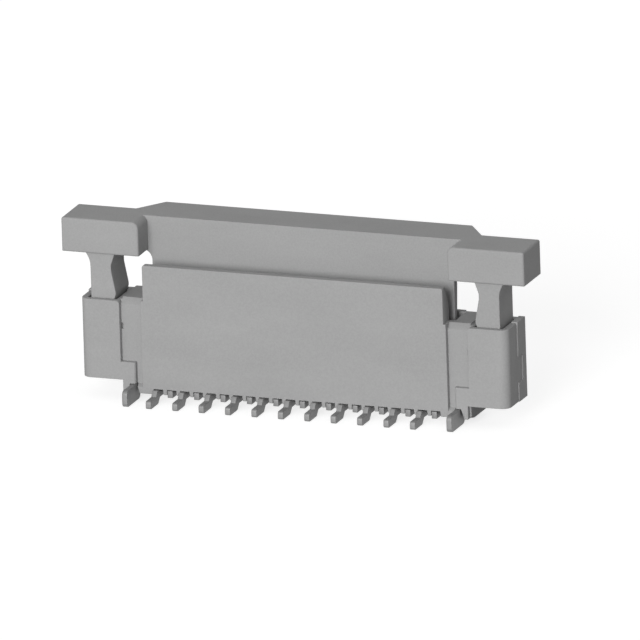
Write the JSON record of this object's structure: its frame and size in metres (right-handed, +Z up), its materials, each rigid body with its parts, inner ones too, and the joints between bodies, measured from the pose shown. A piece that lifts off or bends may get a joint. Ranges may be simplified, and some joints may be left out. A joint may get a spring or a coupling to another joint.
{
  "type": "vertical fpc connector",
  "caption": "Top-entry flat-cable connector for a circuit board, with a lift-up locking slider, staggered solder tails and a solder tab at each end.",
  "frame": {"origin": "on the board's surface, under the middle of the connector's overall box", "axes": "+X along the row of contacts, +Y from the front panel to the back, +Z up, the way the cable and the slider come out"},
  "size_m": [0.0176, 0.0048, 0.0066],
  "materials": {
    "housing_plastic": "matte moulded glass-filled plastic, neutral grey",
    "slider_plastic": "fine matte moulded plastic, neutral grey",
    "contact_plating": "matte tin plating over stamped spring metal",
    "tab_plating": "matte tin plating over stamped sheet metal"
  },
  "bodies": {
    "base": {"housing": "housing_plastic", "front_contact_01": "contact_plating", "front_contact_02": "contact_plating", "front_contact_03": "contact_plating", "front_contact_04": "contact_plating", "front_contact_05": "contact_plating", "front_contact_06": "contact_plating", "front_contact_07": "contact_plating", "front_contact_08": "contact_plating", "front_contact_09": "contact_plating", "front_contact_10": "contact_plating", "front_contact_11": "contact_plating", "back_contact_01": "contact_plating", "back_contact_02": "contact_plating", "back_contact_03": "contact_plating", "back_contact_04": "contact_plating", "back_contact_05": "contact_plating", "back_contact_06": "contact_plating", "back_contact_07": "contact_plating", "back_contact_08": "contact_plating", "back_contact_09": "contact_plating", "back_contact_10": "contact_plating", "back_contact_11": "contact_plating", "left_solder_tab": "tab_plating", "right_solder_tab": "tab_plating"},
    "lock": {"slider": "slider_plastic"}
  },
  "joints": [
    {"name": "slider_press", "type": "slide", "parent": "base", "child": "lock", "axis": [0, 0, 1], "range_m": [-0.0015, 0]}
  ]
}
